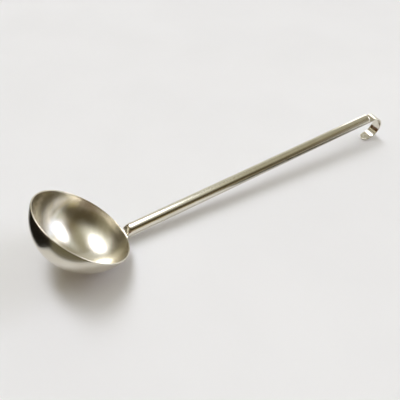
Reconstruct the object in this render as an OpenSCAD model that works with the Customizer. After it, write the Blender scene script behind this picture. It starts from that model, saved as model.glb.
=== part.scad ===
// Soup ladle in sheet steel: a pressed round bowl on a hollow handle that ends in a hanging hook.
// It lies as it would on a table, on the bowl's round bottom and the hook's tip. +Z is up.
// All sizes are in millimetres.

/* [Bowl] */
// Outer diameter of the rim
rim_d = 90; // [76:1:110]
// Depth outside, from the rim's plane to the bottom
bowl_depth = 37; // [32:0.5:42]
// Thickness of the bowl's sheet
bowl_t = 1.2; // [0.8:0.1:2]
// Angle between the rim's plane and the handle strip
bowl_lean = 45; // [38:1:54]

/* [Handle shell] */
// Outer diameter of the arch, which is round in section
shell_d = 11.4; // [11:0.1:13]
// Length of the shell
shell_len = 278; // [200:1:340]
// Height of the shell over the strip at the bowl's end
shell_h_front = 7.4; // [6.6:0.1:8.5]
// Height of the shell over the strip at the hook's end
shell_h_rear = 5.6; // [4.8:0.1:6.4]
// Thickness of the shell's sheet
shell_t = 1; // [0.7:0.05:1.2]
// Radius of the crown where it rolls down to the bowl
front_roll = 6; // [2:0.5:6.5]
// Radius of the crown's edge at the hook's end
rear_roll = 1.6; // [1.3:0.1:3]
// Distance from the bowl's rim to the shell
rim_gap = 0.5; // [0.25:0.25:6]

/* [Handle strip] */
// Width of the strip
strip_w = 10.8; // [10.4:0.1:12]
// Thickness of the strip
strip_t = 1.3; // [1:0.1:2]
// Length of the front tab along the bowl's wall
tab_len = 16; // [15:1:24]
// Distance along the wall from the rim down to where the strip leaves it
tab_drop = 3; // [1:0.25:7]
// Radius of the knee between tab and handle, to the middle of the sheet
knee_r = 4; // [2:0.25:5]

/* [Hook] */
// Distance from the shell's end to the hook's bend
hook_gap = 5.5; // [0.5:0.25:8]
// Radius of the bend, to the middle of the sheet
hook_r = 12.25; // [9:0.25:16]
// Angle that the strip turns through in the bend
hook_turn = 171; // [150:1:172]
// Length of the straight leg, to the end of its round tip
hook_leg = 8.5; // [8:0.5:20]

/* [Welds] */
// Height and width of each seam weld
seam = 0.6; // [0.4:0.05:0.8]
// Number of spot welds in a row down the tab
spot_n = 3; // [1:1:3]
// Diameter of one spot weld
spot_d = 3; // [2:0.1:3.5]
// Distance between spot welds
spot_pitch = 4.4; // [4:0.1:4.8]

/* [Hidden] */
$fn = 96;
// How far a cutting tool runs past what it cuts
over = 1;
// A bent stretch of the strip is this much thinner on each side, and runs this angle into its neighbours
bend_thin = 0.02;
bend_into = 1;

// The bowl is part of a sphere. Its centre is the origin of the handle's own frame, in which
// the strip runs along +X.
rim_r = rim_d / 2;
bowl_r = (rim_r * rim_r + bowl_depth * bowl_depth) / (2 * bowl_depth);
bowl_lift = bowl_r - bowl_depth;
// The rim's point that is nearest to the handle
rim_x = rim_r * cos(bowl_lean) - bowl_lift * sin(bowl_lean);
rim_z = -rim_r * sin(bowl_lean) - bowl_lift * cos(bowl_lean);

// Angles round the bowl's centre, from straight down: where the strip leaves the wall, and its tab's end
deg_per_mm = 180 / (PI * bowl_r);
tab_top = atan2(rim_x, -rim_z) - tab_drop * deg_per_mm;
tab_end = tab_top - tab_len * deg_per_mm;
// The tab's end is an arc, a little flatter than a half circle
tab_round = 0.6 * strip_w;
// The knee turns the strip from the wall's slope to level, just clear of the wall
knee_lift = 0.05;
knee_x = (bowl_r + knee_lift + strip_t / 2 + knee_r) * sin(tab_top);
knee_z = -(bowl_r + knee_lift + strip_t / 2 + knee_r) * cos(tab_top);
strip_z = knee_z + knee_r;
strip_top = strip_z + strip_t / 2;

shell_r = shell_d / 2;
shell_x = max(rim_x + rim_gap, knee_x + strip_t / 2);
shell_tilt = atan((shell_h_front - shell_h_rear) / shell_len);

// Centre of the hook's bend, and the point of its tip that touches the table
hook_x = shell_x + shell_len + hook_gap;
hook_z = strip_z - hook_r;
hook_out = hook_r + strip_t / 2;
tip_x = hook_x + hook_leg * cos(hook_turn) + hook_out * sin(hook_turn);
tip_z = hook_z - hook_leg * sin(hook_turn) + hook_out * cos(hook_turn);

// The tilt that brings bowl and tip down to one level, and the middle of the ladle's length
rest_tilt = asin(-bowl_r / norm([tip_x, tip_z])) - atan2(tip_z, tip_x);
end_x = hook_x * cos(rest_tilt) - hook_z * sin(rest_tilt) + hook_out;
mid_x = (end_x - bowl_r) / 2;

// Puts the handle's frame down on the table
module lie_down() {
    translate([-mid_x, 0, bowl_r]) rotate([0, -rest_tilt, 0]) children();
}

// The strip's sheet bent round the Y axis, between two angles in the XZ plane. It runs a little
// way into what is at its two ends.
module bent_strip(radius, from, to) {
    rotate([90, 0, 0])
        rotate([0, 0, from - bend_into])
            rotate_extrude(angle = to - from + 2 * bend_into)
                translate([radius - strip_t / 2 + bend_thin, -strip_w / 2 + bend_thin])
                    square([strip_t - 2 * bend_thin, strip_w - 2 * bend_thin]);
}

// Places something at an angle from straight down, with +Z pointing out of the bowl
module on_wall(angle) {
    rotate([0, 180 - angle, 0]) children();
}

// Side view of the shell: its two upper corners are round
module shell_side(base, x0, x1, h0, h1, r0, r1) {
    intersection() {
        translate([x0, base]) square([x1 - x0, h0 - base + over]);
        union() {
            translate([x0 - over, base - over]) square([x1 - x0 - r1 + over, h0 - r0 - base + over]);
            translate([x0 + r0, base - over]) square([x1 - r1 - x0 - r0, h0 - base + 3 * over]);
            translate([x0 + r0, base - over]) square([x1 - x0, h1 - r1 - base + over]);
            translate([x0 + r0, h0 - r0]) circle(r0);
            translate([x1 - r1, h1 - r1]) circle(r1);
        }
    }
}

// The arch with closed ends, taken in by skin on every side but the bottom
module shell_form(skin, base) {
    intersection() {
        translate([0, 0, shell_h_front - shell_r])
            rotate([0, 90 + shell_tilt, 0])
                translate([0, 0, -shell_d])
                    cylinder(r = shell_r - skin, h = shell_len + 2 * shell_d);
        rotate([90, 0, 0])
            translate([0, 0, -shell_d])
                linear_extrude(2 * shell_d)
                    shell_side(base, skin, shell_len - skin, shell_h_front - skin,
                        shell_h_rear - skin, front_roll - skin, rear_roll - skin);
    }
}

// One bar along each edge of the strip, as long as the shell
module seam_bars(extra) {
    for (side = [-1, 1])
        translate([-extra, side * (strip_w - seam + extra) / 2 - (seam + extra) / 2, -extra])
            cube([shell_len + 2 * extra, seam + extra, seam + extra]);
}

// The row of spot welds, half in the bowl's wall and half in the tab
module spot_row() {
    for (i = [0 : spot_n - 1])
        on_wall((tab_top + tab_end) / 2 + (i - (spot_n - 1) / 2) * spot_pitch * deg_per_mm)
            translate([0, 0, bowl_r - bowl_t / 2])
                cylinder(d = spot_d, h = (bowl_t + strip_t) / 2);
}

// The bowl: a round cap of sheet, open at the rim
module bowl() {
    color([0.80, 0.79, 0.75])
        lie_down() difference() {
            rotate([0, bowl_lean, 0]) difference() {
                sphere(bowl_r);
                sphere(bowl_r - bowl_t);
                translate([-bowl_r - over, -bowl_r - over, -bowl_lift])
                    cube([2 * (bowl_r + over), 2 * (bowl_r + over), 2 * bowl_r]);
            }
            spot_row();
        }
}

// The arched upper half of the hollow handle
module handle_shell() {
    color([0.82, 0.81, 0.77])
        lie_down() translate([shell_x, 0, strip_top]) difference() {
            shell_form(0, 0);
            shell_form(shell_t, -over);
            seam_bars(over);
        }
}

// The tab: a piece of round shell that lies on the bowl, with pockets for the spot welds
module tab() {
    difference() {
        intersection() {
            difference() {
                sphere(bowl_r + strip_t);
                sphere(bowl_r);
            }
            on_wall(tab_top) linear_extrude(2 * bowl_r) intersection() {
                translate([0, -strip_w / 2]) square([tab_len, strip_w]);
                union() {
                    translate([tab_len - tab_round, 0]) circle(tab_round);
                    translate([-over, -strip_w]) square([tab_len - tab_round + over, 2 * strip_w]);
                }
            }
        }
        spot_row();
    }
}

// The knee between the tab and the flat run
module knee() {
    translate([knee_x, 0, knee_z]) bent_strip(knee_r, 90, 90 + tab_top);
}

// The hook: a bend, then a straight leg with a round tip
module hook() {
    translate([hook_x, 0, hook_z]) {
        bent_strip(hook_r, 90 - hook_turn, 90);
        rotate([0, hook_turn, 0]) translate([0, 0, hook_r - strip_t / 2]) {
            translate([0, -strip_w / 2, 0]) cube([hook_leg - strip_w / 2, strip_w, strip_t]);
            translate([hook_leg - strip_w / 2, 0, 0]) cylinder(d = strip_w, h = strip_t);
        }
    }
}

// The flat lower half of the handle, from the tab on the bowl to the hook
module handle_strip() {
    color([0.76, 0.75, 0.71])
        lie_down() {
            tab();
            knee();
            translate([knee_x, -strip_w / 2, strip_z - strip_t / 2])
                cube([hook_x - knee_x, strip_w, strip_t]);
            hook();
        }
}

// The two weld runs between shell and strip
module seam_welds() {
    color([0.70, 0.69, 0.65])
        lie_down() translate([shell_x, 0, strip_top]) seam_bars(0);
}

// The nuggets between tab and bowl
module spot_welds() {
    color([0.66, 0.65, 0.62])
        lie_down() spot_row();
}

bowl();
handle_shell();
handle_strip();
seam_welds();
spot_welds();
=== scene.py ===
"""Dresses the soup ladle: its sheet-steel pieces, their finishes, and the studio it lies in."""

import logging
from collections.abc import Callable, Sequence
from dataclasses import dataclass
from enum import Enum
from functools import cached_property
from math import acos, asin, atan2, cos, hypot, pi, radians, sin, sqrt
from typing import Any

import bpy
import numpy as np
from bpy.types import Material, Mesh, MeshPolygon, Node, NodeSocket, NodeTree, Object
from mathutils import Matrix, Quaternion, Vector


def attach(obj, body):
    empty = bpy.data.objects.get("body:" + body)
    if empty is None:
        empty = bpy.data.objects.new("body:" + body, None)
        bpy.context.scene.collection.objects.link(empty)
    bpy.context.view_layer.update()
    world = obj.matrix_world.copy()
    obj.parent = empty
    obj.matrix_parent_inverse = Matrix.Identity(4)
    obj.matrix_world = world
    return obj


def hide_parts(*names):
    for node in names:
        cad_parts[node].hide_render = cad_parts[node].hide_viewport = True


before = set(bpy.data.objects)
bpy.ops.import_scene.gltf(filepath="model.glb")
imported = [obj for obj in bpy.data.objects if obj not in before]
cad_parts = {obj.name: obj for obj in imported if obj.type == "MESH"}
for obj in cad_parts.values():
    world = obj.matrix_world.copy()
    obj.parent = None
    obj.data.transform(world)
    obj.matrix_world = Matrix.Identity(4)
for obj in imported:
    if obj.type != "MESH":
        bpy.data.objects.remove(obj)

log = logging.getLogger("ladle")

MM = 0.001
ROOT = "root"
# Keeps a division clear of zero
TINY = 1e-5
Colour = tuple[float, float, float]
Point = tuple[float, float, float]
Inputs = dict[str | int, Any]
Settings = dict[str, Any]


class Grain(Enum):
    """How the lines of a finish run over the steel."""

    SPUN = "rings round the bowl's axis"
    ALONG = "lines along the sheet"
    GROUND = "short scratches in every direction"


@dataclass(frozen=True)
class Sizes:
    """The ladle's driving sizes in millimetres and degrees, as in the part's source."""

    rim_d: float = 90.0
    bowl_depth: float = 37.0
    bowl_t: float = 1.2
    bowl_lean: float = 45.0
    shell_d: float = 11.4
    shell_len: float = 278.0
    shell_h_front: float = 7.4
    shell_h_rear: float = 5.6
    shell_t: float = 1.0
    front_roll: float = 6.0
    rear_roll: float = 1.6
    rim_gap: float = 0.5
    strip_w: float = 10.8
    strip_t: float = 1.3
    tab_len: float = 16.0
    tab_drop: float = 3.0
    knee_r: float = 4.0
    hook_gap: float = 5.5
    hook_r: float = 12.25
    hook_turn: float = 171.0
    hook_leg: float = 8.5
    seam: float = 0.6
    spot_n: int = 3
    spot_d: float = 3.0
    spot_pitch: float = 4.4
    knee_lift: float = 0.05

    @cached_property
    def bowl_r(self) -> float:
        """Outer radius of the sphere that the bowl is part of."""
        rim_r = self.rim_d / 2
        return (rim_r**2 + self.bowl_depth**2) / (2 * self.bowl_depth)

    @cached_property
    def bowl_lift(self) -> float:
        """Height of the sphere's centre over the rim's plane."""
        return self.bowl_r - self.bowl_depth

    @cached_property
    def rim(self) -> tuple[float, float]:
        """The rim's point nearest to the handle: its place along the handle, and its depth."""
        lean, r, lift = radians(self.bowl_lean), self.rim_d / 2, self.bowl_lift
        return r * cos(lean) - lift * sin(lean), r * sin(lean) + lift * cos(lean)

    @cached_property
    def tab_top(self) -> float:
        """Angle from straight down, in radians, at which the strip leaves the bowl's wall."""
        return atan2(*self.rim) - self.tab_drop / self.bowl_r

    @cached_property
    def tab_end(self) -> float:
        """Angle from straight down, in radians, of the tab's round end."""
        return self.tab_top - self.tab_len / self.bowl_r

    @cached_property
    def tab_round(self) -> float:
        """Radius of the tab's end, which is a little flatter than a half circle."""
        return 0.6 * self.strip_w

    @cached_property
    def knee(self) -> tuple[float, float]:
        """Centre of the knee's bend, as X and Z in the handle's own frame."""
        reach = self.bowl_r + self.knee_lift + self.strip_t / 2 + self.knee_r
        return reach * sin(self.tab_top), -reach * cos(self.tab_top)

    @cached_property
    def strip_z(self) -> float:
        """Height of the middle of the flat strip in the handle's own frame."""
        return self.knee[1] + self.knee_r

    @cached_property
    def strip_top(self) -> float:
        """Height of the flat strip's upper face in the handle's own frame."""
        return self.strip_z + self.strip_t / 2

    @cached_property
    def shell_x(self) -> float:
        """Where the shell begins along the handle."""
        return max(self.rim[0] + self.rim_gap, self.knee[0] + self.strip_t / 2)

    @cached_property
    def hook(self) -> tuple[float, float]:
        """Centre of the hook's bend, as X and Z in the handle's own frame."""
        return self.shell_x + self.shell_len + self.hook_gap, self.strip_z - self.hook_r

    @cached_property
    def hook_out(self) -> float:
        """Radius of the outside of the hook's bend."""
        return self.hook_r + self.strip_t / 2

    @cached_property
    def rest_tilt(self) -> float:
        """The tilt that lays bowl and hook tip down on one level.

        Returns:
            The angle in radians.
        """
        turn = radians(self.hook_turn)
        tip_x = self.hook[0] + self.hook_leg * cos(turn) + self.hook_out * sin(turn)
        tip_z = self.hook[1] - self.hook_leg * sin(turn) + self.hook_out * cos(turn)
        return asin(-self.bowl_r / hypot(tip_x, tip_z)) - atan2(tip_z, tip_x)

    @cached_property
    def mid_x(self) -> float:
        """Middle of the ladle's length, measured from the bowl's centre."""
        end_x = self.hook[0] * cos(self.rest_tilt) - self.hook[1] * sin(self.rest_tilt) + self.hook_out
        return (end_x - self.bowl_r) / 2

    @cached_property
    def bowl_centre(self) -> Vector:
        """Centre of the bowl's sphere, in metres."""
        return Vector((-self.mid_x, 0.0, self.bowl_r)) * MM

    def lay_down(self, points: np.ndarray) -> np.ndarray:
        """Takes points of the handle's own frame, in millimetres, to their places in metres."""
        turn = np.array(Matrix.Rotation(-self.rest_tilt, 3, "Y"))
        return points @ turn.T * MM + np.array(self.bowl_centre)

    @cached_property
    def bowl_tip(self) -> float:
        """Angle in radians between the rim's plane and the table."""
        return radians(self.bowl_lean) - self.rest_tilt


def arithmetic(operation: str, turned: bool = False) -> "Callable[[Signal, Value], Signal]":
    """Makes a method of Signal out of one step of arithmetic.

    Args:
        operation: The Math node's operation.
        turned: True where the other value comes first.

    Returns:
        The method.
    """

    def method(self: "Signal", other: "Value") -> "Signal":
        """Adds the node for this and another value."""
        return self.bench.math(operation, *((other, self) if turned else (self, other)))

    return method


class Signal:
    """A socket that Python's arithmetic works on, one Math node for each step."""

    __add__, __radd__ = arithmetic("ADD"), arithmetic("ADD", True)
    __sub__, __rsub__ = arithmetic("SUBTRACT"), arithmetic("SUBTRACT", True)
    __mul__, __rmul__ = arithmetic("MULTIPLY"), arithmetic("MULTIPLY", True)
    __truediv__ = arithmetic("DIVIDE")

    def __init__(self, bench: "Bench", socket: NodeSocket) -> None:
        """Keeps the socket and the bench that further nodes go on."""
        self.bench = bench
        self.socket = socket


Value = float | int | Sequence[float] | Signal


class Bench:
    """Builds the nodes of one tree, for a material, the world or a geometry modifier."""

    def __init__(self, tree: NodeTree) -> None:
        """Takes an empty or a fresh node tree."""
        self.tree = tree

    def add(self, kind: str, inputs: Inputs | None = None, settings: Settings | None = None) -> Node:
        """Adds one node.

        Args:
            kind: The node's type name.
            inputs: A constant or a Signal for each input, by identifier, name or index.
            settings: The node's own properties, which are set first. "stops" holds a ramp's
                positions and colours.

        Returns:
            The new node.
        """
        node = self.tree.nodes.new(kind)
        for key, value in (settings or {}).items():
            if key == "stops":
                ramp = node.color_ramp.elements
                while len(ramp) < len(value):
                    ramp.new(0.5)
                for stop, (position, colour) in zip(ramp, value):
                    stop.position = position
                    stop.color = (*colour, 1.0)
            else:
                setattr(node, key, value)
        self.fill(node, inputs or {})
        return node

    def fill(self, node: Node, inputs: Inputs) -> None:
        """Feeds inputs of a node."""
        for key, value in inputs.items():
            self.feed(self.find(node.inputs, key), value)

    @staticmethod
    def find(sockets: Any, key: str | int) -> NodeSocket:
        """Finds a socket by its index, its identifier or its name."""
        known = None if isinstance(key, int) else next((s for s in sockets if s.identifier == key), None)
        return known or sockets[key]

    def feed(self, socket: NodeSocket, value: Any) -> None:
        """Links a Signal to a socket, or sets a constant on it.

        Args:
            socket: The socket.
            value: The Signal or the constant.
        """
        if isinstance(value, Signal):
            self.tree.links.new(value.socket, socket)
        else:
            socket.default_value = value

    def out(self, node: Node, key: str | int = 0) -> Signal:
        """The node's output as a Signal."""
        return Signal(self, self.find(node.outputs, key))

    def step(
        self, kind: str, inputs: Inputs | None = None, settings: Settings | None = None, key: str | int = 0
    ) -> Signal:
        """Adds one node as add does, and gives one of its outputs."""
        return self.out(self.add(kind, inputs, settings), key)

    def math(self, operation: str, *values: Value) -> Signal:
        """One Math node on up to three values."""
        return self.step("ShaderNodeMath", dict(enumerate(values)), {"operation": operation})

    def mix(self, factor: Value, a: Any, b: Any, blend: str = "MIX") -> Signal:
        """Mixes two colours.

        Args:
            factor: How much of b shows.
            a: First colour, or a Signal.
            b: Second colour, or a Signal.
            blend: The Mix node's blend type.

        Returns:
            The mixed colour.
        """
        a, b = (v if isinstance(v, Signal) else (*v, 1.0) for v in (a, b))
        inputs = {"Factor_Float": factor, "A_Color": a, "B_Color": b}
        settings = {"data_type": "RGBA", "blend_type": blend}
        return self.step("ShaderNodeMix", inputs, settings, "Result_Color")

    def vector(self, operation: str, *values: Any, result: str = "Vector") -> Signal:
        """One Vector Math node on vectors."""
        return self.step("ShaderNodeVectorMath", dict(enumerate(values)), {"operation": operation}, result)

    def bundle(self, x: Value, y: Value, z: Value) -> Signal:
        """A vector from three values."""
        return self.step("ShaderNodeCombineXYZ", {0: x, 1: y, 2: z})

    def noise(self, where: Signal, scale: float, detail: float, rough: float = 0.5) -> Signal:
        """Noise between about 0 and 1, its scale in cells to each metre of the coordinates."""
        inputs = {"Vector": where, "Scale": scale, "Detail": detail, "Roughness": rough}
        return self.step("ShaderNodeTexNoise", inputs, {"noise_dimensions": "3D"})

    def ramp(self, value: Value, *stops: tuple[float, Colour]) -> Signal:
        """A colour ramp over a value."""
        return self.step("ShaderNodeValToRGB", {0: value}, {"stops": stops})

    def span(self, value: Value, low: float, high: float, to: tuple[float, float] = (0.0, 1.0)) -> Signal:
        """Maps a value smoothly from one span to another, held at both ends."""
        inputs = {"Value": value, 1: low, 2: high, 3: to[0], 4: to[1]}
        return self.step("ShaderNodeMapRange", inputs, {"interpolation_type": "SMOOTHSTEP"})


class Surface(Bench):
    """A new material and the bench of its nodes."""

    def __init__(self, name: str) -> None:
        """Starts the material.

        Args:
            name: Its name.
        """
        self.material = bpy.data.materials.new(name)
        self.material.use_nodes = True
        super().__init__(self.material.node_tree)

    def coat(self, inputs: Inputs) -> Material:
        """Feeds inputs of the Principled BSDF and gives the material."""
        self.fill(self.tree.nodes["Principled BSDF"], inputs)
        return self.material


@dataclass(frozen=True)
class Lines:
    """One layer of a finish's lines.

    Attributes:
        draw: How far the lines are drawn out: the factor on lengths along them, or for rings the
            radius in metres that a whole ring is read at.
        scale: Cells per metre across the lines.
        detail: Number of finer layers.
        rough: Strength of the finer layers.
    """

    draw: float
    scale: float
    detail: float
    rough: float = 0.5


# Fine and broad lines of each grain
GRAIN_LINES = {
    Grain.SPUN: (Lines(0.0012, 3600.0, 2.0), Lines(0.0022, 620.0, 3.0, 0.6)),
    Grain.ALONG: (Lines(0.035, 5200.0, 2.0), Lines(0.02, 1300.0, 3.0, 0.6)),
    Grain.GROUND: (Lines(1.0, 3800.0, 2.0), Lines(0.3, 1700.0, 3.0)),
}
# Turn of the broad scratches of a ground face against the fine ones, in radians
SCRATCH_TURN = (0.7, 0.4, 0.9)


@dataclass(frozen=True)
class Wear:
    """What every finish shares.

    Attributes:
        cloud: Clouds of the dull colour per metre.
        clouded: The noise values between which a cloud sets in.
        wipe: Wiped patches per metre.
        wiped: The noise values between which such a patch sets in.
        lined: The noise values between which a broad line turns bright.
        darkest: Brightness of the darkest broad line.
        least: The least roughness.
        bump: Strength of the relief.
        fine_share: Share of the fine lines in the relief.
    """

    cloud: float = 38.0
    clouded: tuple[float, float] = (0.3, 0.7)
    wipe: float = 90.0
    wiped: tuple[float, float] = (0.45, 0.72)
    lined: tuple[float, float] = (0.25, 0.75)
    darkest: float = 0.93
    least: float = 0.06
    bump: float = 0.35
    fine_share: float = 0.6


@dataclass(frozen=True)
class SteelFinish:
    """One finish of the stainless sheet.

    Attributes:
        name: The material's name.
        grain: How its lines run.
        light: Colour of the clean metal.
        dull: Colour of its slow, faint clouds.
        roughness: Middle of the roughness.
        lines: How much the lines change the roughness.
        relief: Depth of the lines in millimetres.
        smudge: How much wiped, dull patches add to the roughness.
        wear: What every finish shares.
    """

    name: str
    grain: Grain
    light: Colour
    dull: Colour
    roughness: float
    lines: float
    relief: float
    smudge: float
    wear: Wear = Wear()

    def material(self, sizes: Sizes) -> Material:
        """Builds the finish.

        Args:
            sizes: The ladle's sizes, which place and turn the grain.

        Returns:
            The material.
        """
        wear = self.wear
        bench = Surface(self.name)
        place = bench.step("ShaderNodeTexCoord", key="Object")
        fine, broad = self.grain_lines(bench, place, sizes)
        cloud = bench.noise(place, wear.cloud, 3.0, 0.55)
        wiped = bench.span(bench.noise(place, wear.wipe, 4.0, 0.6), *wear.wiped)
        colour = bench.mix(bench.span(cloud, *wear.clouded), self.light, self.dull)
        shade = bench.span(broad, *wear.lined, (wear.darkest, 1.0))
        colour = bench.mix(1.0, colour, bench.bundle(shade, shade, shade), "MULTIPLY")
        gloss = self.roughness + (broad - 0.5) * self.lines + (fine - 0.5) * self.lines
        gloss = gloss + wiped * self.smudge
        gloss = bench.math("MAXIMUM", gloss, wear.least)
        height = fine * wear.fine_share + broad * (1.0 - wear.fine_share)
        inputs = {"Strength": wear.bump, "Distance": self.relief * MM, "Height": height}
        bump = bench.step("ShaderNodeBump", inputs)
        return bench.coat({"Metallic": 1.0, "Base Color": colour, "Roughness": gloss, "Normal": bump})

    def grain_lines(self, bench: Bench, place: Signal, sizes: Sizes) -> tuple[Signal, Signal]:
        """Makes the two layers of grain.

        Args:
            bench: The material's bench.
            place: Object coordinates.
            sizes: The ladle's sizes.

        Returns:
            Fine lines and broad lines, each between about 0 and 1.
        """
        layers = GRAIN_LINES[self.grain]
        if self.grain is Grain.SPUN:
            x, y, arc = self.spun(bench, place, sizes)
            where = [bench.bundle(x * layer.draw, y * layer.draw, arc) for layer in layers]
        elif self.grain is Grain.ALONG:
            flow = bench.step("ShaderNodeUVMap", settings={"uv_map": "sheet"})
            where = [bench.vector("MULTIPLY", flow, (layer.draw, 1.0, 1.0)) for layer in layers]
        else:
            inputs = {"Vector": place, "Rotation": SCRATCH_TURN, "Scale": (layers[1].draw, 1.0, 1.0)}
            where = [place, bench.step("ShaderNodeMapping", inputs, {"vector_type": "POINT"})]
        fine, broad = (bench.noise(at, k.scale, k.detail, k.rough) for at, k in zip(where, layers))
        return fine, broad

    @staticmethod
    def spun(bench: Bench, place: Signal, sizes: Sizes) -> tuple[Signal, Signal, Signal]:
        """Coordinates for rings round the bowl's axis, as spinning and polishing leave them.

        Args:
            bench: The material's bench.
            place: Object coordinates.
            sizes: The ladle's sizes.

        Returns:
            Cosine and sine of the angle round the axis, and the arc from the pole in metres.
        """
        moved = bench.vector("SUBTRACT", place, tuple(sizes.bowl_centre))
        inputs = {"Vector": moved, "Angle": sizes.bowl_tip}
        own = bench.step("ShaderNodeVectorRotate", inputs, {"rotation_type": "Y_AXIS"})
        parts = bench.add("ShaderNodeSeparateXYZ", {0: own})
        x, y, z = (bench.out(parts, i) for i in range(3))
        away = bench.math("SQRT", x * x + y * y)
        arc = bench.math("ARCTAN2", away, z) * (sizes.bowl_r * MM)
        return x / (away + TINY), y / (away + TINY), arc


@dataclass(frozen=True)
class Finishes:
    """The finishes of the ladle's pieces, by the record's slots."""

    bowl: SteelFinish = SteelFinish(
        "bowl satin", Grain.SPUN, (0.80, 0.76, 0.66), (0.76, 0.71, 0.60), 0.22, 0.05, 0.012, 0.03
    )
    shell: SteelFinish = SteelFinish(
        "shell polish", Grain.ALONG, (0.82, 0.78, 0.69), (0.77, 0.73, 0.63), 0.20, 0.07, 0.006, 0.03
    )
    strip: SteelFinish = SteelFinish(
        "strip brushed", Grain.ALONG, (0.78, 0.74, 0.65), (0.72, 0.68, 0.58), 0.20, 0.08, 0.008, 0.03
    )
    weld: SteelFinish = SteelFinish(
        "weld ground", Grain.GROUND, (0.62, 0.59, 0.53), (0.48, 0.45, 0.40), 0.40, 0.16, 0.030, 0.08
    )


def keep_object(name: str, data: Any) -> Object:
    """Links a mesh, a lamp or a camera into the scene as an object at the origin.

    Args:
        name: Name of the object.
        data: What it shows.

    Returns:
        The object.
    """
    piece = bpy.data.objects.new(name, data)
    bpy.context.scene.collection.objects.link(piece)
    return piece


def sheet_mesh(
    name: str, rings: np.ndarray, along: np.ndarray, across: np.ndarray, closed: bool
) -> Mesh:
    """Joins rings of points to a mesh with a UV map in metres.

    Args:
        name: Name of the mesh.
        rings: Points in metres, as rings, points on a ring, and XYZ.
        along: Length along the sheet at each ring, in metres.
        across: Length across the sheet at each point of a ring, in metres. A closed ring has
            one more, for the way back to its first point.
        closed: True where each ring is a closed loop, whose two ends are then capped.

    Returns:
        The mesh, with smooth faces.
    """
    count, size = rings.shape[:2]
    steps = size if closed else size - 1
    faces, uvs = [], []
    for i in range(count - 1):
        for j in range(steps):
            k = (j + 1) % size
            faces.append((i * size + j, i * size + k, (i + 1) * size + k, (i + 1) * size + j))
            low, high = across[j], across[j + 1]
            uvs += [(along[i], low), (along[i], high), (along[i + 1], high), (along[i + 1], low)]
    if closed:
        for i, order in ((0, range(size - 1, -1, -1)), (count - 1, range(size))):
            faces.append(tuple(i * size + j for j in order))
            uvs += [(along[i], across[j]) for j in order]
    mesh = bpy.data.meshes.new(name)
    mesh.from_pydata(rings.reshape(-1, 3).tolist(), [], faces)
    layer = mesh.uv_layers.new(name="sheet")
    layer.data.foreach_set("uv", np.asarray(uvs, float).ravel())
    mesh.shade_smooth()
    mesh.validate()
    return mesh


def face_out(mesh: Mesh, face: MeshPolygon, inside: Vector) -> None:
    """Turns all faces of a mesh over if one of them looks towards a point inside."""
    if face.normal.dot(face.center - inside) < 0:
        mesh.flip_normals()


def apply_modifiers(piece: Object) -> None:
    """Makes the evaluated shape the piece's own plain mesh and takes the modifiers off.

    Args:
        piece: The object.
    """
    bpy.context.view_layer.update()
    graph = bpy.context.evaluated_depsgraph_get()
    mesh = bpy.data.meshes.new_from_object(piece.evaluated_get(graph), depsgraph=graph)
    piece.modifiers.clear()
    old, piece.data = piece.data, mesh
    mesh.name = piece.name
    bpy.data.meshes.remove(old)


class GeometryTool(Bench):
    """A Geometry Nodes tree with named inputs, put on a piece as a modifier."""

    def __init__(self, name: str, **inputs: str) -> None:
        """Starts the tree.

        Args:
            name: The tree's name.
            inputs: The kind of each named input besides the geometry, such as Float.
        """
        super().__init__(bpy.data.node_groups.new(name, "GeometryNodeTree"))
        face = self.tree.interface
        face.new_socket(name="Geometry", in_out="INPUT", socket_type="NodeSocketGeometry")
        face.new_socket(name="Geometry", in_out="OUTPUT", socket_type="NodeSocketGeometry")
        self.keys = {
            label: face.new_socket(name=label, in_out="INPUT", socket_type="NodeSocket" + kind).identifier
            for label, kind in inputs.items()
        }
        self.start = self.add("NodeGroupInput")

    def given(self, label: str) -> Signal:
        """The value of a named input."""
        return self.out(self.start, self.keys.get(label, label))

    def close(self, shape: Signal) -> None:
        """Ends the tree in Realize Instances and Set Material.

        Args:
            shape: The geometry so far.
        """
        real = self.step("GeometryNodeRealizeInstances", {0: shape})
        done = self.step("GeometryNodeSetMaterial", {0: real, "Material": self.given("Finish")})
        self.add("NodeGroupOutput", {0: done})

    def run(self, piece: Object, **values: Any) -> None:
        """Runs the tree on a piece and keeps the result as its plain mesh.

        Args:
            piece: The object that the tree works on.
            values: The value of each named input.
        """
        modifier = piece.modifiers.new(self.tree.name, "NODES")
        modifier.node_group = self.tree
        for label, value in values.items():
            modifier[self.keys[label]] = value
        apply_modifiers(piece)


@dataclass
class Part:
    """A sub-assembly of the ladle.

    Attributes:
        sizes: The ladle's sizes.
        finish: The material of its visible piece.
    """

    sizes: Sizes
    finish: Material


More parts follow.
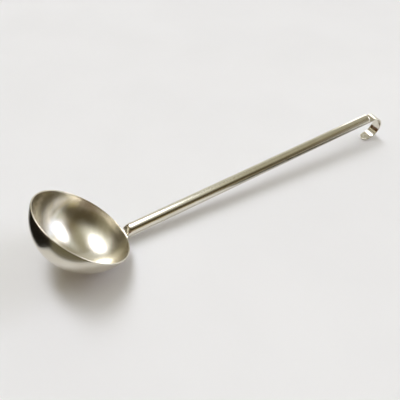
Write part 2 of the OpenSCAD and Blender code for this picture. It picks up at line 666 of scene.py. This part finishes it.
@dataclass
class Bowl(Part):
    """The pressed and spun bowl, whose rim is cut, deburred and polished.

    Attributes:
        arc_steps: Points along each side of the wall's profile.
        lip_steps: Points round the rim's edge.
        around: Points round the bowl.
        spindle: Radius in millimetres of the circle that carries the profile round.
        merge: Points nearer than this, in millimetres, become one.
    """

    arc_steps: int = 44
    lip_steps: int = 8
    around: int = 160
    spindle: float = 10.0
    merge: float = 0.002

    def profile(self) -> np.ndarray:
        """Half of the wall's section, from the bottom outside to the bottom inside.

        Returns:
            Distance from the bowl's axis and height over its sphere's centre, in millimetres.
        """
        s = self.sizes
        lip = s.bowl_t / 2
        middle = s.bowl_r - lip
        edge = acos(s.bowl_lift / middle) - lip / middle
        outer = np.linspace(0.0, edge, self.arc_steps)
        points = [(s.bowl_r * sin(a), -s.bowl_r * cos(a)) for a in outer]
        turn_x, turn_z = middle * sin(edge), -middle * cos(edge)
        for a in np.linspace(0.0, pi, self.lip_steps + 2)[1:-1]:
            out, up = lip * cos(a), lip * sin(a)
            x = turn_x + out * sin(edge) + up * cos(edge)
            points.append((x, turn_z - out * cos(edge) + up * sin(edge)))
        inner = s.bowl_r - s.bowl_t
        points += [(inner * sin(a), -inner * cos(a)) for a in outer[::-1]]
        return np.array(points)

    def lathe(self) -> GeometryTool:
        """Turns the profile round the bowl's axis and lays the bowl down.

        Returns:
            The tree that does it.
        """
        tool = GeometryTool(
            "spin the bowl", Start="Float", Around="Int", Tip="Float", Centre="Vector", Finish="Material"
        )
        line = tool.step("GeometryNodeMeshToCurve", {0: tool.given("Geometry")})
        inputs = {"Resolution": tool.given("Around"), "Radius": tool.given("Start")}
        circle = tool.step("GeometryNodeCurvePrimitiveCircle", inputs, {"mode": "RADIUS"})
        wall = tool.step("GeometryNodeCurveToMesh", {"Curve": circle, "Profile Curve": line})
        joined = tool.step("GeometryNodeMergeByDistance", {0: wall, "Distance": self.merge * MM})
        turn = tool.bundle(0.0, tool.given("Tip"), 0.0)
        inputs = {0: joined, "Translation": tool.given("Centre"), "Rotation": turn}
        laid = tool.step("GeometryNodeTransform", inputs)
        tool.close(tool.step("GeometryNodeSetShadeSmooth", {0: laid}))
        return tool

    def build(self) -> Object:
        """Makes the bowl.

        Returns:
            The bowl, in place.
        """
        line = bpy.data.meshes.new("bowl wall")
        spots = [((x - self.spindle) * MM, -z * MM, 0.0) for x, z in self.profile()]
        line.from_pydata(spots, [(i, i + 1) for i in range(len(spots) - 1)], [])
        piece = keep_object("bowl_wall", line)
        centre = self.sizes.bowl_centre
        self.lathe().run(
            piece,
            Start=self.spindle * MM,
            Around=self.around,
            Tip=self.sizes.bowl_tip,
            Centre=centre,
            Finish=self.finish,
        )
        far = max(piece.data.polygons, key=lambda face: (face.center - centre).length)
        face_out(piece.data, far, centre)
        return piece

    def dress(self) -> list[Object]:
        """Builds the bowl and puts it in the CAD node's stead.

        Returns:
            The bowl.
        """
        piece = self.build()
        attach(piece, ROOT)
        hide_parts("bowl")
        return [piece]


@dataclass
class HandleShell(Part):
    """The arched upper half of the hollow handle, with its pressed, rolled-down ends.

    Attributes:
        steps: Points across the arch.
        front_steps: Sections round the front roll.
        run_steps: Sections along the straight crown.
        rear_steps: Sections round the rear roll.
        wall_shares: How far out the rings of an end wall lie, as shares of the arch.
        least_share: Share of the arch's width that the innermost ring has.
        foot_corner: Radius in plan of the corners at the two ends.
        front_draw: Share of that corner that the front end has.
        rear_draw: Share of that corner that the rear end has.
        crease: Angle in degrees from which an edge is sharp.
    """

    steps: int = 56
    front_steps: int = 18
    run_steps: int = 60
    rear_steps: int = 12
    wall_shares: tuple[float, ...] = (0.0, 0.25, 0.5, 0.75)
    least_share: float = 0.002
    foot_corner: float = 1.6
    front_draw: float = 0.35
    rear_draw: float = 0.6
    crease: float = 50.0

    def stations(self) -> list[tuple[float, float]]:
        """Sections along the shell.

        Returns:
            For each section its distance from the front end, and how far its crown has rolled
            down, from 0 at the end wall's foot to 1 where the crown is straight.
        """
        s = self.sizes
        front = np.linspace(0.0, pi / 2, self.front_steps)
        spots = [(s.front_roll * (1 - cos(a)), sin(a)) for a in front]
        run = np.linspace(s.front_roll, s.shell_len - s.rear_roll, self.run_steps)
        spots += [(float(x), 1.0) for x in run[1:-1]]
        rear = np.linspace(pi / 2, 0.0, self.rear_steps)
        spots += [(s.shell_len - s.rear_roll * (1 - cos(a)), sin(a)) for a in rear]
        return spots

    def arch(self, x: float, rolled: float) -> list[Point]:
        """One section of the skin.

        Args:
            x: Its distance from the front end.
            rolled: How far its crown has rolled down, as stations gives it.

        Returns:
            Its points from foot to foot in the handle's own frame, in millimetres.
        """
        s = self.sizes
        r = s.shell_d / 2
        base = s.strip_top + s.seam
        front = x < s.shell_len / 2
        roll = s.front_roll if front else s.rear_roll
        height = s.shell_h_front + (s.shell_h_rear - s.shell_h_front) * (x / s.shell_len)
        squeeze = ((height - roll) + roll * rolled) / height
        narrow = self.foot_corner * (1 - rolled) ** 2 * (self.front_draw if front else self.rear_draw)
        middle = height - r
        foot = asin(max(-1.0, min(1.0, (s.seam - middle) / r)))
        points = []
        for a in np.linspace(foot, pi - foot, self.steps + 1):
            y, z = r * cos(a), middle + r * sin(a)
            points.append((s.shell_x + x, y * (1 - narrow / r), base + (z - s.seam) * squeeze))
        return points

    def build(self) -> Object:
        """Makes the shell.

        Returns:
            The shell, in place.
        """
        s = self.sizes
        r = s.shell_d / 2
        stations = self.stations()
        rings = [self.arch(x, rolled) for x, rolled in stations]
        along = [x for x, _ in stations]
        walls = len(self.wall_shares)
        last = rings[-1]
        rings = [self.end_wall(rings[0], share) for share in self.wall_shares] + rings
        rings += [self.end_wall(last, share) for share in self.wall_shares[::-1]]
        lengths = [along[0] - walls + i for i in range(walls)] + along
        lengths += [along[-1] + 1 + i for i in range(walls)]
        points = s.lay_down(np.array(rings))
        across = np.linspace(0.0, pi * r, self.steps + 1) * MM
        mesh = sheet_mesh("handle_shell_skin", points, np.array(lengths) * MM, across, False)
        piece = keep_object("handle_shell_skin", mesh)
        axis = s.lay_down(np.array([s.shell_x + s.shell_len / 2, 0.0, s.strip_top]))
        face_out(mesh, mesh.polygons[len(mesh.polygons) // 2], Vector(axis))
        mesh.set_sharp_from_angle(angle=radians(self.crease))
        wall = piece.modifiers.new("wall", "SOLIDIFY")
        wall.thickness = s.shell_t * MM
        wall.offset = -1.0
        wall.use_even_offset = False
        apply_modifiers(piece)
        piece.data.materials.clear()
        piece.data.materials.append(self.finish)
        return piece

    def end_wall(self, ring: list[Point], share: float) -> list[Point]:
        """A ring of the flat end wall, drawn in to a share of the arch about the middle of its foot."""
        base, wide = ring[0][2], share or self.least_share
        return [(x, y * wide, base + (z - base) * share) for x, y, z in ring]

    def dress(self) -> list[Object]:
        """Builds the shell and puts it in the CAD node's stead.

        Returns:
            The shell.
        """
        piece = self.build()
        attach(piece, ROOT)
        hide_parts("handle_shell")
        return [piece]


@dataclass(frozen=True)
class Station:
    """One section of the strip.

    Attributes:
        x: Place along the handle, in its own frame.
        z: Height there.
        slope: Direction in which the strip runs, in radians over level.
        half: Half of the strip's width.
        dish: How far the strip's edges stand up from its middle.
        length: Length along the strip from the tab's tip.
    """

    x: float
    z: float
    slope: float
    half: float
    dish: float
    length: float


@dataclass
class HandleStrip(Part):
    """The flat strip from the tab on the bowl to the hook, in one piece of sheet.

    Attributes:
        edge_r: Radius of its deburred edges.
        edge_share: Largest share of its half width that such an edge takes.
        corner_steps: Points round each edge.
        flat_steps: Points across each face.
        tip_steps: Sections round the tab's end, and round the leg's tip.
        tab_steps: Sections along the rest of the tab.
        knee_steps: Sections round the knee.
        run_steps: Sections along the flat run.
        bend_steps: Sections round the hook's bend.
        leg_steps: Sections along the straight leg.
        least_half: Half of the width that the two tips end in.
        crease: Angle in degrees from which an edge is sharp.
    """

    edge_r: float = 0.38
    edge_share: float = 0.98
    corner_steps: int = 5
    flat_steps: int = 12
    tip_steps: int = 22
    tab_steps: int = 12
    knee_steps: int = 14
    run_steps: int = 70
    bend_steps: int = 48
    leg_steps: int = 5
    least_half: float = 0.05
    crease: float = 60.0

    def path(self) -> list[Station]:
        """Walks from the tab's tip over the knee and the flat run to the hook's tip.

        Returns:
            The sections in order.
        """
        s = self.sizes
        wall = s.bowl_r + s.strip_t / 2
        half = s.strip_w / 2
        quarter = pi / 2
        spots: list[tuple[float, float, float, float, float]] = []
        on_tab = list(s.tab_round * (1 - np.cos(np.linspace(0.0, quarter, self.tip_steps))))
        for d in on_tab + list(np.linspace(s.tab_round, s.tab_len, self.tab_steps)[1:]):
            a = s.tab_end + d / s.bowl_r
            width = half
            if d < s.tab_round:
                width = min(half, sqrt(max(0.0, s.tab_round**2 - (s.tab_round - d) ** 2)))
            spots.append((wall * sin(a), -wall * cos(a), a, width, 1.0))
        for a in np.linspace(s.tab_top, 0.0, self.knee_steps)[1:]:
            x = s.knee[0] - s.knee_r * sin(a)
            z = s.knee[1] + s.knee_r * cos(a)
            spots.append((x, z, a, half, (a / s.tab_top) ** 2))
        for x in np.linspace(s.knee[0], s.hook[0], self.run_steps)[1:]:
            spots.append((x, s.strip_z, 0.0, half, 0.0))
        turn = radians(s.hook_turn)
        for a in np.linspace(0.0, turn, self.bend_steps)[1:]:
            x, z = s.hook[0] + s.hook_r * sin(a), s.hook[1] + s.hook_r * cos(a)
            spots.append((x, z, -a, half, 0.0))
        end_x, end_z = spots[-1][:2]
        straight = s.hook_leg - half
        leg = [(d, half) for d in np.linspace(0.0, straight, self.leg_steps)[1:]]
        tip = np.linspace(0.0, quarter, self.tip_steps)[1:]
        leg += [(straight + half * sin(a), half * cos(a)) for a in tip]
        for d, width in leg:
            spots.append((end_x + d * cos(turn), end_z - d * sin(turn), -turn, width, 0.0))
        stations, run = [], 0.0
        for i, (x, z, slope, width, dish) in enumerate(spots):
            if i:
                run += hypot(x - spots[i - 1][0], z - spots[i - 1][1])
            stations.append(Station(x, z, slope, max(width, self.least_half), dish, run))
        return stations

    def section(self, half: float) -> np.ndarray:
        """The strip's section, a bar with rounded edges.

        Args:
            half: Half of its width there.

        Returns:
            Points across and through the sheet, counter-clockwise, in millimetres.
        """
        thick = self.sizes.strip_t / 2
        corner = min(self.edge_r, half * self.edge_share)
        points = []
        for cx, cz, start in (
            (half - corner, -(thick - self.edge_r), -90),
            (half - corner, thick - self.edge_r, 0),
            (-(half - corner), thick - self.edge_r, 90),
            (-(half - corner), -(thick - self.edge_r), 180),
        ):
            for a in np.radians(np.linspace(start, start + 90, self.corner_steps)):
                points.append((cx + corner * cos(a), cz + self.edge_r * sin(a)))
            if start in (0, 180):
                side = 1 if start == 0 else -1
                for t in np.linspace(0, 1, self.flat_steps + 1)[1:-1]:
                    points.append((side * (half - corner) * (1 - 2 * t), side * thick))
        return np.array(points)

    def build(self) -> Object:
        """Makes the strip.

        Returns:
            The strip, in place.
        """
        s = self.sizes
        wall = s.bowl_r + s.strip_t / 2
        stations = self.path()
        rings = []
        for spot in stations:
            up = np.array([-sin(spot.slope), 0.0, cos(spot.slope)])
            ring = []
            for y, n in self.section(spot.half):
                rise = spot.dish * (wall - sqrt(wall**2 - y**2))
                ring.append(np.array([spot.x, y, spot.z]) + up * (n + rise))
            rings.append(ring)
        outline = self.section(s.strip_w / 2)
        lengths = np.linalg.norm(np.diff(np.vstack([outline, outline[:1]]), axis=0), axis=1)
        across = np.concatenate([[0.0], np.cumsum(lengths)]) * MM
        along = np.array([spot.length for spot in stations]) * MM
        mesh = sheet_mesh("handle_strip_sheet", s.lay_down(np.array(rings)), along, across, True)
        middle = len(stations) // 2
        inside = s.lay_down(np.array([stations[middle].x, 0.0, stations[middle].z]))
        face_out(mesh, mesh.polygons[middle * len(outline)], Vector(inside))
        mesh.set_sharp_from_angle(angle=radians(self.crease))
        mesh.materials.append(self.finish)
        return keep_object("handle_strip_sheet", mesh)

    def dress(self) -> list[Object]:
        """Builds the strip and puts it in the CAD node's stead.

        Returns:
            The strip.
        """
        piece = self.build()
        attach(piece, ROOT)
        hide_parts("handle_strip")
        return [piece]


@dataclass
class Welds(Part):
    """The ground seams along the handle, the nuggets in the tab, and their marks outside.

    Attributes:
        mark_steps: Points round one mark.
        mark_section: A mark's radius over the nugget's, and its height in millimetres, inwards.
    """

    mark_steps: int = 20
    mark_section: tuple[tuple[float, float], ...] = (
        (1.18, -0.12),
        (1.08, 0.05),
        (0.92, 0.09),
        (0.74, 0.03),
        (0.4, 0.01),
    )

    def mark(self) -> Mesh:
        """The shallow ring that a spot welder's tip leaves.

        Returns:
            Its mesh, standing on +Z.
        """
        n, r = self.mark_steps, self.sizes.spot_d / 2 * MM
        points, faces = [], []
        for share, z in self.mark_section:
            for a in (2 * pi * i / n for i in range(n)):
                points.append((share * r * cos(a), share * r * sin(a), z * MM))
        last = (len(self.mark_section) - 1) * n
        for k in range(0, last, n):
            faces += [(k + i, k + (i + 1) % n, k + n + (i + 1) % n, k + n + i) for i in range(n)]
        faces += [tuple(range(last, last + n)), tuple(range(n - 1, -1, -1))]
        mesh = bpy.data.meshes.new("spot mark")
        mesh.from_pydata(points, [], faces)
        mesh.shade_smooth()
        return mesh

    def row(self) -> GeometryTool:
        """Sets the marks in a row down the tab's outside.

        Returns:
            The tree that does it.
        """
        tool = GeometryTool(
            "row of spot marks",
            Count="Int",
            Radius="Float",
            First="Float",
            Step="Float",
            Tilt="Float",
            Centre="Vector",
            Finish="Material",
        )
        line = tool.step("GeometryNodeMeshLine", {"Count": tool.given("Count")}, {"mode": "OFFSET"})
        index = tool.step("GeometryNodeInputIndex")
        angle = tool.given("First") + index * tool.given("Step")
        radius = tool.given("Radius")
        below = -1.0 * radius * tool.math("COSINE", angle)
        spot = tool.bundle(radius * tool.math("SINE", angle), 0.0, below)
        laid = tool.step("GeometryNodeSetPosition", {0: line, "Position": spot})
        turn = tool.bundle(0.0, pi - angle, 0.0)
        inputs = {"Points": laid, "Instance": tool.given("Geometry"), "Rotation": turn}
        marks = tool.step("GeometryNodeInstanceOnPoints", inputs)
        tilt = tool.bundle(0.0, tool.given("Tilt"), 0.0)
        inputs = {0: marks, "Translation": tool.given("Centre"), "Rotation": tilt}
        tool.close(tool.step("GeometryNodeTransform", inputs))
        return tool

    def build(self) -> Object:
        """Makes the marks.

        Returns:
            The row of marks, in place.
        """
        s = self.sizes
        step = s.spot_pitch / s.bowl_r
        first = (s.tab_top + s.tab_end) / 2 - (s.spot_n - 1) / 2 * step
        piece = keep_object("spot_marks", self.mark())
        self.row().run(
            piece,
            Count=s.spot_n,
            Radius=(s.bowl_r + s.strip_t) * MM,
            First=first,
            Step=step,
            Tilt=-s.rest_tilt,
            Centre=s.bowl_centre,
            Finish=self.finish,
        )
        return piece

    def dress(self) -> list[Object]:
        """Builds the marks and gives the CAD welds their finish.

        Returns:
            The marks.
        """
        piece = self.build()
        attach(piece, ROOT)
        for node in ("seam_welds", "spot_welds"):
            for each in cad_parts[node].material_slots:
                each.material = self.finish
        return [piece]


def bearing_way(bearing: float, height: float) -> Vector:
    """Unit vector towards a bearing, in degrees from +X towards +Y, and a height over level."""
    b, h = radians(bearing), radians(height)
    return Vector((cos(b) * cos(h), sin(b) * cos(h), sin(h)))


@dataclass(frozen=True)
class Patch:
    """A soft oval of the room, such as a window, a ceiling lamp or a dark corner.

    Attributes:
        bearing: Where its middle stands, in degrees from +X towards +Y.
        height: Elevation of its middle in degrees.
        wide: Half of its width in degrees.
        tall: Half of its height in degrees.
        core: Share of its reach in which it is full.
        turn: How far it is turned about its middle, in degrees.
        colour: Its colour and strength.
        fade: How softly it ends at right angles to its middle, as a cosine.
    """

    bearing: float
    height: float
    wide: float
    tall: float
    core: float
    turn: float
    colour: Colour
    fade: float = 0.15

    def lay(self, bench: Bench, way: Signal, under: Signal) -> Signal:
        """Lays the patch over the colours so far.

        Args:
            bench: The world's bench.
            way: Direction that is looked in.
            under: The colours so far.

        Returns:
            The colours with the patch.
        """
        middle = bearing_way(self.bearing, self.height)
        side = bearing_way(self.bearing + 90.0, 0.0)
        side.rotate(Quaternion(middle, radians(self.turn)))
        side_over = middle.cross(side)
        near, a, b = (
            bench.vector("DOT_PRODUCT", way, tuple(axis), result="Value")
            for axis in (middle, side, side_over)
        )
        a = a / sin(radians(self.wide))
        b = b / sin(radians(self.tall))
        away = bench.math("SQRT", a * a + b * b)
        before = bench.span(near, 0.0, self.fade)
        return bench.mix(bench.span(away, 1.0, self.core) * before, under, self.colour)


def flat_piece(
    name: str, height: float, corners: Sequence[tuple[float, float]], material: Material
) -> Object:
    """Makes a level piece of one face.

    Args:
        name: Name of the object.
        height: Its height in metres.
        corners: X and Y of its corners in metres, counter-clockwise from above.
        material: Its material.

    Returns:
        The object.
    """
    mesh = bpy.data.meshes.new(name)
    mesh.from_pydata([(x, y, height) for x, y in corners], [], [tuple(range(len(corners)))])
    mesh.materials.append(material)
    return keep_object(name, mesh)


@dataclass(frozen=True)
class ReflectionCard:
    """A flat card that only the steel mirrors, to paint its reflections; the camera never sees it.

    Attributes:
        name: Its name.
        colour: The colour that it paints into the steel's reflections.
        corners: X and Y of its corners in metres, counter-clockwise from above.
    """

    name: str
    colour: Colour
    corners: tuple[tuple[float, float], ...]

    def lay(self, height: float) -> None:
        """Lays the card down.

        Args:
            height: Its height over the table in metres.
        """
        matte = {"Base Color": (*self.colour, 1.0), "Roughness": 0.9, "Specular IOR Level": 0.0}
        item = flat_piece(self.name, height, self.corners, Surface(self.name).coat(matte))
        # Painted reflection: only the steel's reflections see the card, not the camera, diffuse light or
        # shadows.
        item.visible_camera = item.visible_diffuse = item.visible_shadow = False


@dataclass(frozen=True)
class Lamp:
    """A soft box near the ladle, out of the picture, that only the steel mirrors.

    Attributes:
        name: Its name.
        place: Its middle in metres.
        aim: The point that it faces, in metres.
        wide: Its width in metres.
        tall: Its height in metres.
        power: Its power in watts.
    """

    name: str
    place: Point
    aim: Point
    wide: float
    tall: float
    power: float

    def hang(self) -> None:
        """Hangs the lamp. The table and the camera don't see it."""
        data = bpy.data.lights.new(self.name, "AREA")
        data.shape, data.size, data.size_y, data.energy = "RECTANGLE", self.wide, self.tall, self.power
        item = keep_object(self.name, data)
        item.location = self.place
        item.rotation_euler = (Vector(self.place) - Vector(self.aim)).to_track_quat("Z", "Y").to_euler()
        item.visible_camera = item.visible_diffuse = False


@dataclass
class Studio:
    """The pale table, the room that lights it and that the steel mirrors, and the camera.

    Attributes:
        sizes: The ladle's sizes, which place the camera.
        table: Side of the table in metres.
        pale: Colour of the table.
        walls: The room's colours, from the horizon up to straight overhead.
        patches: The soft ovals of the room, each laid over those before it.
        cards: The cards round the ladle that paint the steel's reflections, each laid over those before it.
        card_step: How far each card lies over the one below, in metres.
        lamps: The soft boxes near it.
        lens: The camera's focal length in millimetres, for a sensor 36 mm wide.
        elevation: Height in degrees that the camera looks down from.
        bearing: Bearing in degrees of what lies to the camera's right. It stands at 90 less.
        distance: Distance in metres from the camera to the point that it looks at.
        aim_along: This point's distance along the handle from the rim's middle, in metres.
        aim_back: Its distance from the handle's upright plane, in metres.
    """

    sizes: Sizes
    table: float = 8.0
    pale: Colour = (0.92, 0.92, 0.925)
    walls: tuple[tuple[float, Colour], ...] = (
        (0.0, (1.30, 1.37, 1.50)),
        (0.12, (0.56, 0.57, 0.47)),
        (0.24, (0.81, 0.78, 0.66)),
        (0.6, (0.15, 0.11, 0.04)),
        (1.0, (0.44, 0.42, 0.30)),
    )
    patches: tuple[Patch, ...] = (
        Patch(7.0, 42.0, 41.0, 15.2, 0.0, 14.0, (0.71, 0.74, 0.69)),
        Patch(66.5, 31.0, 80.0, 19.0, 0.85, 37.0, (0.58, 0.57, 0.50)),
        Patch(142.0, 17.0, 56.0, 38.5, 0.75, 5.0, (0.086, 0.060, 0.020)),
        Patch(162.0, 43.0, 53.0, 4.0, 0.45, 15.0, (1.55, 1.42, 1.10)),
        Patch(-80.0, 35.5, 80.0, 26.0, 0.53, -57.0, (0.075, 0.058, 0.027)),
        Patch(-16.5, 9.0, 35.0, 15.0, 0.0, -36.0, (1.46, 1.60, 2.10)),
        Patch(-13.5, 26.0, 15.6, 24.0, 0.3, -48.0, (5.3, 5.35, 6.1)),
        Patch(118.5, 82.0, 20.6, 60.0, 0.0, -6.0, (1.34, 1.37, 1.31)),
        Patch(88.5, 66.0, 11.7, 33.5, 0.0, 9.0, (13.0, 13.3, 14.4)),
        Patch(-101.0, 6.0, 43.0, 11.5, 0.5, 3.0, (0.65, 0.56, 0.31)),
        Patch(-150.0, 9.0, 80.0, 31.7, 0.85, -4.0, (0.113, 0.043, 0.020)),
    )
    # Painted reflections: only the steel sees these cards. The olive and the dark card reach onto the pale
    # table at the
    # picture's left, so the steel mirrors colour that the table there doesn't have; the warm card puts a warm
    # tan into it.
    cards: tuple[ReflectionCard, ...] = (
        ReflectionCard("warm card", (0.68, 0.56, 0.32), ((-0.255, -0.9), (0.6, -0.9), (0.6, -0.236), (-0.255, -0.236))),
        ReflectionCard(
            "olive card",
            (0.17, 0.155, 0.10),
            (
                (-1.2, -0.9),
                (-0.165, -0.9),
                (-0.165, -0.085),
                (-0.2, -0.06),
                (-0.228, -0.038),
                (-0.28, -0.008),
                (-1.2, 0.7),
            ),
        ),
        ReflectionCard(
            "dark card",
            (0.010, 0.009, 0.007),
            ((-1.2, -0.08), (-0.29, -0.028), (-0.24, 0.006), (-0.214, 0.022), (-0.192, 0.9), (-1.2, 0.9)),
        ),
        # Painted dark reflection: a near-black card on the table in front of the handle, inside the picture,
        # that only the steel mirrors, darkening the handle's lower side.
        ReflectionCard(
            "handle card",
            (0.03, 0.03, 0.02),
            ((0.015, -0.23), (0.21, -0.23), (0.21, -0.032), (0.015, -0.032)),
        ),
    )
    card_step: float = 0.0003
    lamps: tuple[Lamp, ...] = (Lamp("side box", (0.30, 0.135, 0.085), (0.15, 0.0, 0.02), 0.12, 0.09, 0.07),)
    lens: float = 45.0
    elevation: float = 46.5
    bearing: float = -30.1
    distance: float = 0.48
    aim_along: float = 0.1154
    aim_back: float = 0.0087

    def floor(self) -> Object:
        """Makes the table.

        Returns:
            The table.
        """
        half = self.table / 2
        bench = Surface("pale table")
        place = bench.step("ShaderNodeTexCoord", key="Object")
        mottle = bench.span(bench.noise(place, 9.0, 2.0), 0.35, 0.65)
        colour = bench.mix(mottle, self.pale, tuple(0.985 * c for c in self.pale))
        matte = bench.coat({"Base Color": colour, "Roughness": 0.75, "Specular IOR Level": 0.2})
        item = flat_piece("table", 0.0, [(-half, -half), (half, -half), (half, half), (-half, half)], matte)
        return item

    def room(self) -> None:
        """Makes the world: the room's walls and ceiling with its windows and dark corners."""
        world = bpy.data.worlds.new("room")
        bpy.context.scene.world = world
        world.use_nodes = True
        bench = Bench(world.node_tree)
        world.node_tree.nodes.clear()
        way = bench.step("ShaderNodeTexCoord", key="Generated")
        colours = bench.ramp(bench.step("ShaderNodeSeparateXYZ", {0: way}, key=2), *self.walls)
        for patch in self.patches:
            colours = patch.lay(bench, way, colours)
        lit = bench.step("ShaderNodeBackground", {"Color": colours, "Strength": 1.0})
        bench.add("ShaderNodeOutputWorld", {"Surface": lit})

    def camera(self) -> None:
        """Puts the camera where the photograph was taken from."""
        s = self.sizes
        rim_x = s.bowl_centre.x - s.bowl_lift * sin(s.bowl_tip) * MM
        aim = Vector((rim_x + self.aim_along, self.aim_back, 0.0))
        back = bearing_way(self.bearing - 90.0, self.elevation)
        data = bpy.data.cameras.new("camera")
        data.lens, data.sensor_width = self.lens, 36.0
        data.clip_start, data.clip_end = 0.01, 20.0
        item = keep_object("camera", data)
        item.location = aim + back * self.distance
        item.rotation_euler = back.to_track_quat("Z", "Y").to_euler()
        bpy.context.scene.camera = item

    def build(self) -> None:
        """Sets up everything round the ladle."""
        self.floor()
        self.room()
        self.camera()
        for level, card in enumerate(self.cards, 1):
            card.lay(level * self.card_step)
        for lamp in self.lamps:
            lamp.hang()
        bpy.context.scene.view_settings.view_transform = "Standard"


def main() -> None:
    """Builds the ladle's pieces in order, then the studio round them."""
    logging.basicConfig(level=logging.INFO, format="%(name)s: %(message)s")
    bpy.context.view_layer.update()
    sizes = Sizes()
    finishes = Finishes()
    makers = (
        Bowl(sizes, finishes.bowl.material(sizes)),
        HandleStrip(sizes, finishes.strip.material(sizes)),
        HandleShell(sizes, finishes.shell.material(sizes)),
        Welds(sizes, finishes.weld.material(sizes)),
    )
    for maker in makers:
        for piece in maker.dress():
            log.info("%s: %d faces", piece.name, len(piece.data.polygons))
    Studio(sizes).build()


if __name__ == "__main__":
    main()
